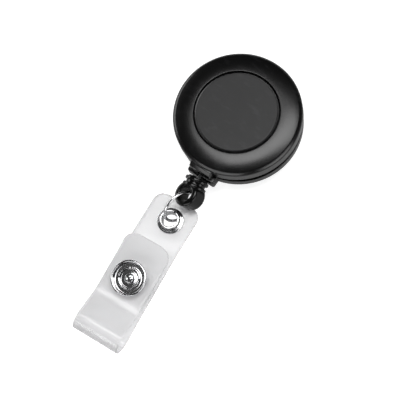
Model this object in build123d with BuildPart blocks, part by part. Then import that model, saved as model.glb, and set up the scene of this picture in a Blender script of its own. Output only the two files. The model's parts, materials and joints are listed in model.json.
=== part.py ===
from build123d import *
from math import acos, asin, atan2, cos, degrees, pi, radians, sin, sqrt, tan
import os

# A round badge reel lying on its belt clip. Millimetres, +Z up out of the front face.
# The origin is on the reel's axis, in the clip's flat outer face. The cord leaves towards -Y.

# ---- driving dimensions -------------------------------------------------
case_radius = 16.0
face_z = 13.6            # front face of the label disc
case_back_z = 3.7        # back face of the case
back_radius = 15.75      # the back cover is a little smaller than the front one
wall = 1.05
floor_thickness = 1.2
seam_low_z = 6.8         # the recessed seam runs between these two heights
seam_high_z = 9.0
fit_gap = 0.05
thrust_inner = 11.9      # rings that keep the spool in its place, above and below it
thrust_outer = 12.6
boss_width = 5.9         # exit boss on the front cover
boss_y = -16.9
boss_top_z = 11.6
boss_bevel = 0.8
back_boss_width = 7.7    # the wider one on the back cover, under it
back_boss_y = -17.4
back_boss_low_z = 4.6

label_radius = 10.05
label_thickness = 0.8
label_round = 0.14
recess_radius = 10.7
lip_drop = 1.0           # fall of the front cover's face from its centre to its lip
lip_round = 0.72

cord_z = 7.7             # height of the cord's exit
cord_radius = 0.4
cord_bend_radius = 2.4
winding_inner = 10.1
winding_layers = 3
winding_turns = 4        # in each layer
lead_radius = 13.0       # the lead leaves the winding on a circle of this radius
bend_y = -15.6           # where the lead turns into the exit

spool_low_z = 5.2
flange_thickness = 0.8
groove_low_z = spool_low_z + flange_thickness
groove_high_z = 9.4
spool_top_z = groove_high_z + flange_thickness
flange_radius = 13.4
hub_radius = 10.05
hub_inner = 8.0
post_radius = 1.85
post_tip_radius = 1.2
post_slot = 0.5          # width of the slot for the power spring's inner end
bearing_gap = 0.07

spring_thickness = 0.2
spring_inner = 2.3
spring_pitch = 0.66
spring_turns = 8

neck_y = -17.9           # the end fitting starts here, turned and drooping on its limp cord
pull_turn = 7.0
pull_drop = 7.0
rib_radius = 3.05
rib_width = 0.95
rib_pitch = 1.6
first_rib = 0.8
neck_radius = 2.55
eye_distance = 4.75
eye_radius = 3.3
eye_thickness = 4.4
eye_hole = 1.85
eye_tilt = 24.0

ring_wire = 0.375
ring_radius = 4.37
ring_centre = Vector(-0.15, -26.1, 6.5)
ring_axis = Vector(0.928, -0.242, 0.284).normalized()

strap_width = 12.7
strap_thickness = 0.55
strap_corner = 3.0
strap_turn = 3.0         # the strap lies turned by this about its fold
strap_fold_x = 0.5
strap_top_y = -24.4
strap_top_z = 4.0
snap_y = -47.1
snap_z = 2.6
snap_slope = 7.0
flap_rise = 2.85         # from the back layer's middle to the flap's, at the snap
fold_centre = (-61.2, 3.3)
fold_radius = 3.0
flap_end_y = -37.2
flap_flare = 20.0
split_gap = 0.03
eyelet_y = -30.0
eyelet_offset = 0.5      # the eyelet is a little off the strap's middle

clip_thickness = 0.7
clip_width = 10.0
clip_bend_y = 12.0
clip_base_y = -11.2
clip_base_corner = 3.0
clip_tongue_margin = 0.6 # the tongue is narrower than the base by this on each side
clip_tongue_corner = 2.6
clip_bend_start_y = -5.6 # the tongue bends towards the base here,
clip_contact_y = -9.6    # comes nearest to it here,
clip_tip = (-13.2, 1.1)  # and flares away again to its tip
clip_tip_bend = 1.6
clip_window = (8.0, 3.0)
clip_window_y = 6.5
rivet_spacing = 11.0
rivet_head = (1.6, 0.4)  # radius and thickness
rivet_clench = (1.5, 0.4)
rivet_gap = 0.03

os.makedirs("parts", exist_ok=True)


def section_of(plane):
    """The plane through a turned part's axis: radius to the right, axis upwards."""
    return Plane(origin=plane.origin, x_dir=plane.x_dir, z_dir=-plane.y_dir)


def axis_of(plane):
    return Axis(plane.origin, plane.z_dir)


def tangent_from(point, centre, radius, side):
    """Where the line from a point touches a circle, on its left (1) or right (-1) side."""
    away = (centre[0] - point[0], centre[1] - point[1])
    distance = sqrt(away[0] ** 2 + away[1] ** 2)
    heading = atan2(away[1], away[0]) + side * asin(radius / distance)
    length = sqrt(distance**2 - radius**2)
    return (point[0] + length * cos(heading), point[1] + length * sin(heading))


def finish(builder, name):
    builder.part.label = name
    export_step(builder.part, f"parts/{name}.step")


# ---- the cord's route inside the case ---------------------------------------
lead_angle = acos(lead_radius / -bend_y)
lead_start = Vector(lead_radius * sin(lead_angle), -lead_radius * cos(lead_angle), cord_z)
lead_bend = Vector(0, bend_y, cord_z)
lead_end = Vector(0, neck_y + 0.1, cord_z)
lead_run = lead_bend - lead_start
lead_plane = Plane(origin=lead_start, z_dir=lead_run)
exit_plane = Plane(origin=lead_bend, x_dir=(1, 0, 0), z_dir=(0, -1, 0))
channel_radius = 0.8
mouth_radius = 0.6
turn_at_exit = lead_run.get_angle(Vector(0, -1, 0))
print(f"cord exit: bend radius {cord_bend_radius} mm, turning {turn_at_exit:.1f} degrees")

# the slanted channel through the case wall, and the mouth that it leads to
with BuildPart() as cord_channel:
    with BuildSketch(lead_plane):
        Circle(channel_radius)
    extrude(amount=lead_run.length)
    with Locations(lead_bend):
        Sphere(channel_radius + 0.1)
    with BuildSketch(exit_plane):
        Circle(mouth_radius)
    extrude(amount=3)

# ---- front cover ----------------------------------------------------------
ceiling_z = 11.8
recess_z = face_z - label_thickness
lip_top_z = face_z - lip_drop
lip_side_z = lip_top_z - lip_round
lip_middle = lip_round * (1 - sqrt(0.5))
thrust_z = spool_top_z + 0.2
socket_radius = 2.6
boss_root_y = -15.3

with BuildPart() as front_cover:
    with BuildSketch(Plane.XZ):
        with BuildLine():
            Line((0, recess_z), (recess_radius, recess_z))
            Line((recess_radius, recess_z), (recess_radius, face_z - 0.1))
            ThreePointArc(
                (recess_radius, face_z - 0.1),
                (13.1, face_z - 0.34),
                (case_radius - lip_round, lip_top_z),
            )
            ThreePointArc(
                (case_radius - lip_round, lip_top_z),
                (case_radius - lip_middle, lip_top_z - lip_middle),
                (case_radius, lip_side_z),
            )
            Polyline(
                (case_radius, lip_side_z),
                (case_radius, seam_high_z),
                (case_radius - wall, seam_high_z),
                (case_radius - wall, ceiling_z),
                (0, ceiling_z),
                (0, recess_z),
            )
        make_face()
    revolve(axis=Axis.Z)
    # socket for the tip of the spindle post, and the ring that keeps the spool down
    with BuildSketch(Plane.XY.offset(thrust_z)):
        Circle(thrust_outer)
        Circle(thrust_inner, mode=Mode.SUBTRACT)
        Circle(socket_radius)
        Circle(post_tip_radius + fit_gap, mode=Mode.SUBTRACT)
    extrude(amount=ceiling_z - thrust_z)
    # front half of the exit boss
    with BuildSketch(Plane.XY.offset(cord_z + fit_gap)):
        with Locations((0, (boss_root_y + boss_y) / 2)):
            Rectangle(boss_width, boss_root_y - boss_y)
    extrude(amount=boss_top_z - cord_z - fit_gap)
    front_edges = front_cover.edges().filter_by(Axis.X)
    chamfer(front_edges.filter_by_position(Axis.Z, boss_top_z - 0.1, boss_top_z + 0.1), boss_bevel)
    add(cord_channel.part, mode=Mode.SUBTRACT)
finish(front_cover, "front_cover")

# ---- label disc -------------------------------------------------------------
with BuildPart() as label_disc:
    with BuildSketch(Plane.XY.offset(recess_z)):
        Circle(label_radius)
    extrude(amount=label_thickness)
    fillet(label_disc.edges().group_by(Axis.Z)[-1], label_round)
finish(label_disc, "label_disc")

# ---- back cover, with the spindle post and the collar that the front one sits on ----
floor_z = case_back_z + floor_thickness
collar_outer = case_radius - wall - fit_gap
collar_inner = 14.0
collar_top_z = 10.4
floor_ring_height = 0.15
back_round = 1.1
back_middle = back_round * (1 - sqrt(0.5))
rivet_hole = 0.85
rivet_seat_radius = 1.7
rivet_seat_depth = 0.5
post_tip_height = 1.2
back_boss_root_y = -14.5
back_boss_round = 0.8

with BuildPart() as back_cover:
    with BuildSketch(Plane.XZ):
        with BuildLine():
            Line((0, case_back_z), (back_radius - back_round, case_back_z))
            ThreePointArc(
                (back_radius - back_round, case_back_z),
                (back_radius - back_middle, case_back_z + back_middle),
                (back_radius, case_back_z + back_round),
            )
            Polyline(
                (back_radius, case_back_z + back_round),
                (back_radius, seam_low_z),
                (collar_outer, seam_low_z),
                (collar_outer, collar_top_z),
                (collar_inner, collar_top_z),
                (collar_inner, floor_z),
                (0, floor_z),
                (0, case_back_z),
            )
        make_face()
    revolve(axis=Axis.Z)
    with BuildSketch(Plane.XY.offset(floor_z)):
        Circle(post_radius)
    extrude(amount=thrust_z - fit_gap - floor_z)
    with BuildSketch(Plane.XY.offset(thrust_z - fit_gap)):
        Circle(post_tip_radius)
    extrude(amount=post_tip_height)
    # low ring under the spool's flange
    with BuildSketch(Plane.XY.offset(floor_z)):
        Circle(thrust_outer)
        Circle(thrust_inner, mode=Mode.SUBTRACT)
    extrude(amount=floor_ring_height)
    # slot across the post for the power spring's inner end
    with BuildSketch(Plane.XY.offset(groove_low_z)):
        Rectangle(2 * post_radius + 1, post_slot)
    extrude(amount=groove_high_z + 0.2 - groove_low_z, mode=Mode.SUBTRACT)
    # back half of the exit boss
    with BuildSketch(Plane.XY.offset(back_boss_low_z)):
        with Locations((0, (back_boss_root_y + back_boss_y) / 2)):
            Rectangle(back_boss_width, back_boss_root_y - back_boss_y)
    extrude(amount=cord_z - fit_gap - back_boss_low_z)
    corners = back_cover.edges().filter_by(Axis.Z)
    fillet(corners.filter_by_position(Axis.Y, back_boss_y - 0.1, back_boss_y + 0.1), back_boss_round)
    # rivet holes, each with a sunk seat for the rivet's clenched end
    with BuildSketch(Plane.XY.offset(case_back_z)):
        with GridLocations(0, rivet_spacing, 1, 2):
            Circle(rivet_hole)
    extrude(amount=floor_thickness, mode=Mode.SUBTRACT)
    with BuildSketch(Plane.XY.offset(floor_z)):
        with GridLocations(0, rivet_spacing, 1, 2):
            Circle(rivet_seat_radius)
    extrude(amount=-rivet_seat_depth, mode=Mode.SUBTRACT)
    add(cord_channel.part, mode=Mode.SUBTRACT)
finish(back_cover, "back_cover")

# ---- spool: hub, lower flange, and pins for its cap -------------------------------
pin_radius = 0.45
pin_circle = 9.0
knot_circle = 8.95
knot_angle = 120
knot_pocket = 0.65
knot_notch = (1.6, 0.9)  # opens the pocket through the hub's outer face
hook_pocket = (1.0, 0.8)
hook_pocket_x = 8.4
hook_end_x = 8.75
bore_radius = post_radius + bearing_gap

with BuildPart() as spool:
    with BuildSketch(Plane.XY.offset(spool_low_z)):
        Circle(flange_radius)
        Circle(bore_radius, mode=Mode.SUBTRACT)
    extrude(amount=flange_thickness)
    with BuildSketch(Plane.XY.offset(groove_low_z)):
        Circle(hub_radius)
        Circle(hub_inner, mode=Mode.SUBTRACT)
        with PolarLocations(knot_circle, 1, start_angle=knot_angle):
            Circle(knot_pocket, mode=Mode.SUBTRACT)
        with PolarLocations(knot_circle + knot_notch[0] / 2, 1, start_angle=knot_angle):
            Rectangle(*knot_notch, mode=Mode.SUBTRACT)
        with Locations((hook_pocket_x, 0)):
            Rectangle(*hook_pocket, mode=Mode.SUBTRACT)
    extrude(amount=groove_high_z - groove_low_z)
    with BuildSketch(Plane.XY.offset(groove_high_z)):
        with PolarLocations(pin_circle, 3, start_angle=60):
            Circle(pin_radius)
    extrude(amount=flange_thickness + 0.1)
finish(spool, "spool")

# ---- spool cap: upper flange and lid of the spring's chamber ------------------------
with BuildPart() as spool_cap:
    with BuildSketch(Plane.XY.offset(groove_high_z)):
        Circle(flange_radius)
        Circle(bore_radius, mode=Mode.SUBTRACT)
        with PolarLocations(pin_circle, 3, start_angle=60):
            Circle(pin_radius + fit_gap, mode=Mode.SUBTRACT)
    extrude(amount=flange_thickness)
finish(spool_cap, "spool_cap")


# ---- power spring: a flat steel strip coiled in half turns ---------------------------
def draw_half_turn(step, offset):
    """One half turn of the strip's face at an offset from its middle."""
    radius = spring_inner + spring_pitch * (step + 0.5) / 2 + offset
    side = 1 if step % 2 == 0 else -1
    centre = -side * spring_pitch / 4
    ThreePointArc(
        (centre + side * radius, 0), (centre, side * radius), (centre - side * radius, 0)
    )


spring_steps = 2 * spring_turns
spring_half = spring_thickness / 2
spring_end_x = spring_inner + spring_pitch * spring_turns
spring_side_gap = 0.2

with BuildPart() as power_spring:
    with BuildSketch(Plane.XY.offset(groove_low_z + spring_side_gap)):
        with BuildLine():
            for step in range(spring_steps):
                draw_half_turn(step, -spring_half)
            for step in range(spring_steps):
                draw_half_turn(step, spring_half)
            Line((spring_inner - spring_half, 0), (spring_inner + spring_half, 0))
            Line((spring_end_x - spring_half, 0), (spring_end_x + spring_half, 0))
        make_face()
        # inner tab in the post's slot, and outer hook in the spool's pocket
        with Locations((spring_inner / 2, 0)):
            Rectangle(spring_inner + spring_thickness, spring_thickness)
        with Locations(((spring_end_x + hook_end_x) / 2, 0)):
            Rectangle(hook_end_x - spring_end_x + spring_thickness, spring_thickness)
    extrude(amount=groove_high_z - groove_low_z - 2 * spring_side_gap)
finish(power_spring, "power_spring")

# ---- cord: winding, anchor knot, lead to the exit, and the tail in the end fitting -------
winding_low_z = cord_z - winding_turns * cord_radius
winding_edge = winding_inner + (2 * winding_layers - 1) * cord_radius

with BuildPart() as cord_winding:
    with BuildSketch(Plane.XZ):
        with Locations(((winding_inner + winding_edge) / 2, cord_z)):
            Rectangle(winding_edge - winding_inner, 2 * winding_turns * cord_radius)
        for turn in range(winding_turns):
            with Locations((winding_edge, winding_low_z + (2 * turn + 1) * cord_radius)):
                Circle(cord_radius)
    revolve(axis=Axis.Z)
finish(cord_winding, "cord_winding")

knot_direction = Vector(cos(radians(knot_angle)), sin(radians(knot_angle)), 0)
knot_centre = knot_direction * knot_circle + Vector(0, 0, cord_z)
with BuildPart() as cord_anchor_knot:
    with Locations(knot_centre):
        Sphere(knot_pocket - 0.07)
    with BuildSketch(Plane(origin=knot_centre, z_dir=knot_direction)):
        Circle(cord_radius)
    extrude(amount=winding_inner - knot_circle - 0.02)
finish(cord_anchor_knot, "cord_anchor_knot")

with BuildPart() as cord_lead:
    with BuildLine() as lead_route:
        FilletPolyline(lead_start, lead_bend, lead_end, radius=cord_bend_radius)
    with BuildSketch(lead_plane):
        Circle(cord_radius)
    sweep(path=lead_route.wire())
lead_length = lead_route.wire().length
print(f"cord lead: {lead_length:.2f} mm long, volume {cord_lead.part.volume:.3f} mm3")
print(f"its section times its length: {pi * cord_radius**2 * lead_length:.3f} mm3")
finish(cord_lead, "cord_lead")

pull_yaw = radians(pull_turn)
pull_pitch = radians(pull_drop)
pull = Vector(sin(pull_yaw) * cos(pull_pitch), -cos(pull_yaw) * cos(pull_pitch), -sin(pull_pitch))
neck_point = Vector(0, neck_y, cord_z)
neck_start = Plane(origin=neck_point, x_dir=pull.cross(Vector(0, 0, -1)), z_dir=pull)
tail_knot = 0.95
tail_knot_depth = 2.15
with BuildPart() as cord_tail:
    with BuildSketch(neck_start.offset(-fit_gap)):
        Circle(cord_radius)
    extrude(amount=tail_knot_depth)
    with Locations(neck_point + pull * tail_knot_depth):
        Sphere(tail_knot)
finish(cord_tail, "cord_tail_knot")

turn_radii = [winding_inner + (2 * layer + 1) * cord_radius for layer in range(winding_layers)]
wound_length = sum(2 * pi * radius * winding_turns for radius in turn_radii)
print(f"cord on the spool: {wound_length:.0f} mm")

# ---- end fitting: ribbed neck and a thick eye ---------------------------------------
neck_section = Plane(origin=neck_point, x_dir=pull, z_dir=pull.cross(Vector(0, 0, 1)))
eye_lean = Vector(-sin(radians(eye_tilt)), 0, cos(radians(eye_tilt)))
eye_axis = eye_lean - pull * eye_lean.dot(pull)
eye_centre = neck_point + pull * eye_distance
eye_plane = Plane(origin=eye_centre, x_dir=pull * -1, z_dir=eye_axis)
rib_round = 0.4
neck_round = 0.3
eye_round = 1.6
bore_depth = 1.2
knot_chamber = 1.2

with BuildPart() as end_fitting:
    with BuildSketch(neck_section):
        with Locations((eye_distance / 2, neck_radius / 2)):
            Rectangle(eye_distance, neck_radius)
        for rib in range(2):
            with Locations((first_rib + rib * rib_pitch, rib_radius / 2)):
                Rectangle(rib_width, rib_radius)
    revolve(axis=Axis(neck_point, pull))
    rims = end_fitting.edges().filter_by(GeomType.CIRCLE)
    fillet(rims.filter_by(lambda rim: abs(rim.radius - rib_radius) < 0.01), rib_round)
    neck_rim = end_fitting.edges().filter_by(GeomType.CIRCLE).sort_by(Axis(neck_point, pull))[0]
    fillet(neck_rim, neck_round)
    with BuildSketch(section_of(eye_plane)) as eye_section:
        with Locations((eye_radius / 2, 0)):
            Rectangle(eye_radius, eye_thickness)
        fillet(eye_section.vertices().group_by(Axis.X)[-1], eye_round)
    revolve(axis=axis_of(eye_plane))
    with BuildSketch(eye_plane.offset(-eye_thickness)):
        Circle(eye_hole)
    extrude(amount=2 * eye_thickness, mode=Mode.SUBTRACT)
    # bore for the cord, opening into the chamber that holds its knot
    with BuildSketch(neck_start):
        Circle(cord_radius + 0.1)
    extrude(amount=bore_depth, mode=Mode.SUBTRACT)
    with BuildSketch(neck_start.offset(bore_depth)):
        Circle(knot_chamber)
    extrude(amount=eye_hole * 1.1, mode=Mode.SUBTRACT)
finish(end_fitting, "end_fitting")

# ---- link ring: a wire ring whose ends meet at the bottom -----------------------------
ring_down = (ring_axis * ring_axis.Z - Vector(0, 0, 1)).normalized()
ring_start = ring_centre + ring_down * ring_radius
ring_arc = 358.6         # its ends do not quite touch
with BuildPart() as link_ring:
    with BuildSketch(Plane(origin=ring_start, x_dir=ring_down, z_dir=ring_axis.cross(ring_down))):
        Circle(ring_wire)
    revolve(axis=Axis(ring_centre, ring_axis), revolution_arc=ring_arc)
finish(link_ring, "link_ring")

# ---- strap: one band of clear vinyl, folded back on itself ------------------------------
# Its side view is drawn in a plane turned a little from YZ, about the fold, and the fold's
# outer end splits it into two nodes.
strap_yaw = radians(strap_turn)
strap_side = Plane(
    origin=(
        strap_fold_x + fold_centre[0] * sin(strap_yaw),
        fold_centre[0] * (1 - cos(strap_yaw)),
        0,
    ),
    x_dir=(-sin(strap_yaw), cos(strap_yaw), 0),
    z_dir=(cos(strap_yaw), sin(strap_yaw), 0),
)
slope = radians(snap_slope)
along = (cos(slope), sin(slope))
normal = (-sin(slope), cos(slope))
snap_point = (snap_y, snap_z)
flap_point = (snap_y + flap_rise * normal[0], snap_z + flap_rise * normal[1])


def from_snap(start, distance):
    return (start[0] + distance * along[0], start[1] + distance * along[1])


strap_top = (strap_top_y, strap_top_z)
back_bend = 18.0         # radii of the bends between the strap's straight stretches
flap_bend = 9.0
back_upper = from_snap(snap_point, 10.2)
back_lower = from_snap(snap_point, -6.0)
back_touch = tangent_from(back_lower, fold_centre, fold_radius, 1)
flap_lower = from_snap(flap_point, -6.2)
flap_touch = tangent_from(flap_lower, fold_centre, fold_radius, -1)
flap_upper = from_snap(flap_point, 5.4)
flap_end = (
    flap_end_y,
    flap_upper[1] + (flap_end_y - flap_upper[0]) * tan(radians(flap_flare)),
)


def on_fold(angle):
    return (
        fold_centre[0] + fold_radius * cos(radians(angle)),
        fold_centre[1] + fold_radius * sin(radians(angle)),
    )


def strap_plane(point, angle, offset=0):
    """A plane lying in the strap's middle surface at a point of its side view."""
    return Plane(
        origin=strap_side.from_local_coords((point[0], point[1], offset)),
        x_dir=strap_side.z_dir,
        z_dir=strap_side.x_dir * -sin(angle) + Vector(0, 0, cos(angle)),
    )


half_split = degrees(split_gap / 2 / fold_radius)
eyelet_slope = atan2(strap_top[1] - back_upper[1], strap_top[0] - back_upper[0])
eyelet_z = strap_top_z + (eyelet_y - strap_top_y) * tan(eyelet_slope)
eyelet_seat = strap_plane((eyelet_y, eyelet_z), eyelet_slope, eyelet_offset)
snap_seat = strap_plane(snap_point, slope)
flap_seat = strap_plane(flap_point, slope)
eyelet_barrel = 2.1
rivet_barrel = 1.5
punch_depth = 1.0        # the punches reach this far on both sides of the strap's middle


def round_strap_end():
    """Round the two corners at the strap's end nearest the reel."""
    thickness_edges = edges().filter_by(lambda edge: abs(edge.length - strap_thickness) < 0.02)
    fillet(thickness_edges.sort_by(Axis.Y)[-2:], strap_corner)


with BuildPart() as strap_back:
    with BuildSketch(strap_side):
        with BuildLine():
            FilletPolyline(strap_top, back_upper, back_lower, back_touch, radius=back_bend)
            ThreePointArc(back_touch, on_fold(225), on_fold(180 + half_split))
        trace(line_width=strap_thickness)
    extrude(amount=strap_width / 2, both=True)
    round_strap_end()
    for seat, hole in ((eyelet_seat, eyelet_barrel), (snap_seat, rivet_barrel)):
        with BuildSketch(seat.offset(-punch_depth)):
            Circle(hole)
        extrude(amount=2 * punch_depth, mode=Mode.SUBTRACT)
finish(strap_back, "strap_back")

with BuildPart() as strap_flap:
    with BuildSketch(strap_side):
        with BuildLine():
            FilletPolyline(flap_touch, flap_lower, flap_upper, flap_end, radius=flap_bend)
            ThreePointArc(on_fold(180 - half_split), on_fold(135), flap_touch)
        trace(line_width=strap_thickness)
    extrude(amount=strap_width / 2, both=True)
    round_strap_end()
    with BuildSketch(flap_seat.offset(-punch_depth)):
        Circle(rivet_barrel)
    extrude(amount=2 * punch_depth, mode=Mode.SUBTRACT)
finish(strap_flap, "strap_flap")

# ---- eyelet in the strap's upper end ----------------------------------------------------
skin = strap_thickness / 2
eyelet_outline = [
    (1.85, -skin - 0.3),
    (2.05, -skin - 0.3),
    (2.05, skin),
    (3.3, skin),
    (3.3, skin + 0.3),
    (2.95, skin + 0.42),
    (2.95, skin + 0.72),
    (2.6, skin + 0.84),
    (2.6, skin + 1.3),
    (2.35, skin + 1.85),
    (2.1, skin + 1.95),
    (1.85, skin + 1.8),
]
with BuildPart() as eyelet:
    with BuildSketch(section_of(eyelet_seat)):
        with BuildLine():
            Polyline(*eyelet_outline, close=True)
        make_face()
    revolve(axis=axis_of(eyelet_seat))
finish(eyelet, "eyelet")

washer_radius = 3.1
washer_hole = 2.06
washer_thickness = 0.3
with BuildPart() as eyelet_washer:
    with BuildSketch(eyelet_seat.offset(-skin - washer_thickness)):
        Circle(washer_radius)
        Circle(washer_hole, mode=Mode.SUBTRACT)
    extrude(amount=washer_thickness)
    fillet(eyelet_washer.edges().group_by(Axis.Z)[0], washer_thickness / 3)
finish(eyelet_washer, "eyelet_washer")

# ---- snap fastener ------------------------------------------------------------------------
cap_outline = [
    (0, skin + 0.25),
    (2.35, skin + 0.25),
    (2.35, skin + 1.25),
    (2.55, skin + 1.4),
    (2.75, skin + 1.25),
    (2.75, skin + 0.3),
    (3.95, skin + 0.3),
    (3.95, skin + 1.5),
    (4.1, skin + 1.75),
    (4.35, skin + 1.75),
    (4.5, skin + 1.5),
    (4.5, skin + 0.6),
    (4.3, skin),
    (1.45, skin),
    (1.45, -skin - 0.5),
    (1.15, -skin - 0.5),
    (1.15, -skin - 0.2),
    (0, -skin - 0.2),
]
cap_well_z = skin + 0.25  # floor of the well in the middle of the cap
cap_ring_radius = 2.55
cap_notch = (0.7, 0.6)
cap_notch_depth = 0.3
dome_radius = 1.15
dome_height = 1.0
dome_round = 0.5
with BuildPart() as snap_cap:
    with BuildSketch(section_of(flap_seat)):
        with BuildLine():
            Polyline(*cap_outline, close=True)
        make_face()
    revolve(axis=axis_of(flap_seat))
    # four notches in the inner ring, and the dimpled dome in its middle
    with BuildSketch(flap_seat.offset(skin + 1.4 - cap_notch_depth)):
        with PolarLocations(cap_ring_radius, 4):
            Rectangle(*cap_notch)
    extrude(amount=cap_notch_depth + 0.2, mode=Mode.SUBTRACT)
    with BuildSketch(flap_seat.offset(cap_well_z)):
        Circle(dome_radius)
    extrude(amount=dome_height)
    rims = snap_cap.edges().filter_by(GeomType.CIRCLE)
    dome_rims = rims.filter_by(lambda rim: abs(rim.radius - dome_radius) < 0.01)
    fillet(dome_rims.sort_by(Axis.Z)[-1], dome_round)
finish(snap_cap, "snap_cap")

socket_outline = [
    (1.5, -skin - 0.5),
    (1.5, -skin),
    (4.1, -skin),
    (4.1, -skin - 1.1),
    (3.6, -skin - 1.5),
    (2.15, -skin - 1.5),
    (2.15, -skin - 1.2),
    (3.3, -skin - 1.1),
    (3.3, -skin - 0.5),
]
with BuildPart() as snap_socket:
    with BuildSketch(section_of(flap_seat)):
        with BuildLine():
            Polyline(*socket_outline, close=True)
        make_face()
    revolve(axis=axis_of(flap_seat))
finish(snap_socket, "snap_socket")

# open wire ring lying in the socket, which springs over the stud's bead
spring_ring_radius = 2.45
spring_ring_wire = 0.22
spring_ring_arc = 320
spring_ring_seat = flap_seat.offset(-skin - 0.8)
spring_ring_start = Plane(
    origin=spring_ring_seat.from_local_coords((spring_ring_radius, 0, 0)),
    x_dir=spring_ring_seat.x_dir,
    z_dir=spring_ring_seat.y_dir,
)
with BuildPart() as snap_spring:
    with BuildSketch(spring_ring_start):
        Circle(spring_ring_wire)
    revolve(axis=axis_of(spring_ring_seat), revolution_arc=spring_ring_arc)
finish(snap_spring, "snap_spring")

stud_outline = [
    (1.0, skin),
    (4.0, skin),
    (4.0, skin + 0.2),
    (2.6, skin + 0.35),
    (1.75, skin + 0.5),
    (1.7, skin + 1.05),
    (1.95, skin + 1.3),
    (1.95, skin + 1.5),
    (1.6, skin + 1.7),
    (1.0, skin + 1.7),
]
with BuildPart() as snap_stud:
    with BuildSketch(section_of(snap_seat)):
        with BuildLine():
            Polyline(*stud_outline, close=True)
        make_face()
    revolve(axis=axis_of(snap_seat))
finish(snap_stud, "snap_stud")

post_outline = [
    (0.0, -skin - 0.55),
    (3.9, -skin - 0.55),
    (4.2, -skin - 0.3),
    (4.2, -skin),
    (0.95, -skin),
    (0.95, skin + 1.5),
    (0.65, skin + 1.6),
    (0.65, -skin - 0.25),
    (0.0, -skin - 0.25),
]
with BuildPart() as stud_rivet:
    with BuildSketch(section_of(snap_seat)):
        with BuildLine():
            Polyline(*post_outline, close=True)
        make_face()
    revolve(axis=axis_of(snap_seat))
finish(stud_rivet, "stud_rivet")

# ---- belt clip: one bent steel strip, split at the outside of its bend -----------------------
clip_half = clip_thickness / 2
base_mid_z = case_back_z - clip_half
bend_mid_z = (clip_half + base_mid_z) / 2
bend_radius = (base_mid_z - clip_half) / 2
clip_split = degrees(split_gap / 2 / bend_radius)


def on_clip_bend(angle):
    return (
        clip_bend_y + bend_radius * cos(radians(angle)),
        bend_mid_z + bend_radius * sin(radians(angle)),
    )


def round_clip_end(radius):
    thickness_edges = edges().filter_by(lambda edge: abs(edge.length - clip_thickness) < 0.02)
    fillet(thickness_edges.group_by(Axis.Y)[0], radius)


with BuildPart() as clip_base:
    with BuildSketch(Plane.YZ):
        with BuildLine():
            Line((clip_base_y, base_mid_z), (clip_bend_y, base_mid_z))
            ThreePointArc(on_clip_bend(90), on_clip_bend(45), on_clip_bend(clip_split))
        trace(line_width=clip_thickness)
    extrude(amount=clip_width / 2, both=True)
    round_clip_end(clip_base_corner)
    with BuildSketch(Plane.XY.offset(case_back_z - clip_thickness)):
        with GridLocations(0, rivet_spacing, 1, 2):
            Circle(rivet_hole)
    extrude(amount=clip_thickness, mode=Mode.SUBTRACT)
finish(clip_base, "clip_base")

contact_gap = 0.1
contact_mid_z = case_back_z - clip_thickness - contact_gap - clip_half
with BuildPart() as clip_tongue:
    with BuildSketch(Plane.YZ):
        with BuildLine():
            ThreePointArc(on_clip_bend(-clip_split), on_clip_bend(-45), on_clip_bend(-90))
            FilletPolyline(
                (clip_bend_y, clip_half),
                (clip_bend_start_y, clip_half),
                (clip_contact_y, contact_mid_z),
                clip_tip,
                radius=clip_tip_bend,
            )
        trace(line_width=clip_thickness)
    extrude(amount=clip_width / 2 - clip_tongue_margin, both=True)
    round_clip_end(clip_tongue_corner)
    # window that makes the tongue springy
    with BuildSketch(Plane.XY):
        with Locations((0, clip_window_y)):
            SlotOverall(*clip_window, rotation=90)
    extrude(amount=clip_thickness, mode=Mode.SUBTRACT)
finish(clip_tongue, "clip_tongue")

with BuildPart() as clip_rivets:
    with BuildSketch(Plane.XY.offset(case_back_z - clip_thickness)):
        with GridLocations(0, rivet_spacing, 1, 2):
            Circle(rivet_head[0])
    extrude(amount=-rivet_head[1])
    with BuildSketch(Plane.XY.offset(case_back_z - clip_thickness)):
        with GridLocations(0, rivet_spacing, 1, 2):
            Circle(rivet_hole - rivet_gap)
    extrude(amount=clip_thickness + floor_thickness - rivet_seat_depth)
    with BuildSketch(Plane.XY.offset(floor_z - rivet_seat_depth)):
        with GridLocations(0, rivet_spacing, 1, 2):
            Circle(rivet_clench[0])
    extrude(amount=rivet_clench[1])
finish(clip_rivets, "clip_rivets")
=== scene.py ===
import json
from math import asin, atan2, cos, degrees, pi, radians, sin, sqrt, tan

import bmesh
import bpy
from mathutils import Matrix, Vector


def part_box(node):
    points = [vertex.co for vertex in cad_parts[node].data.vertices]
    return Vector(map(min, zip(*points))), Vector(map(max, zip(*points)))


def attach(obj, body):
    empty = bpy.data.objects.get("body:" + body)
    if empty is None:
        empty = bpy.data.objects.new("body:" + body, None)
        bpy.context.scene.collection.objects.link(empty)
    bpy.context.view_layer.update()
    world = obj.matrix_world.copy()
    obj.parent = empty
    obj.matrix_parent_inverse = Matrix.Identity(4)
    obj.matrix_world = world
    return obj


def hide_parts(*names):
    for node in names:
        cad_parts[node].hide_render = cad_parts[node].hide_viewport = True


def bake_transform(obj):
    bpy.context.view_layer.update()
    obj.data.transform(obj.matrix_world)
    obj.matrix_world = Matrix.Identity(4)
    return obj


bl_info = {
    "name": "Badge reel",
    "version": (1, 0, 0),
    "blender": (4, 5, 0),
    "location": "3D View > Sidebar > Badge reel",
    "description": "Builds a retractable badge reel around its packed frame",
    "category": "Add Mesh",
}

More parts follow.
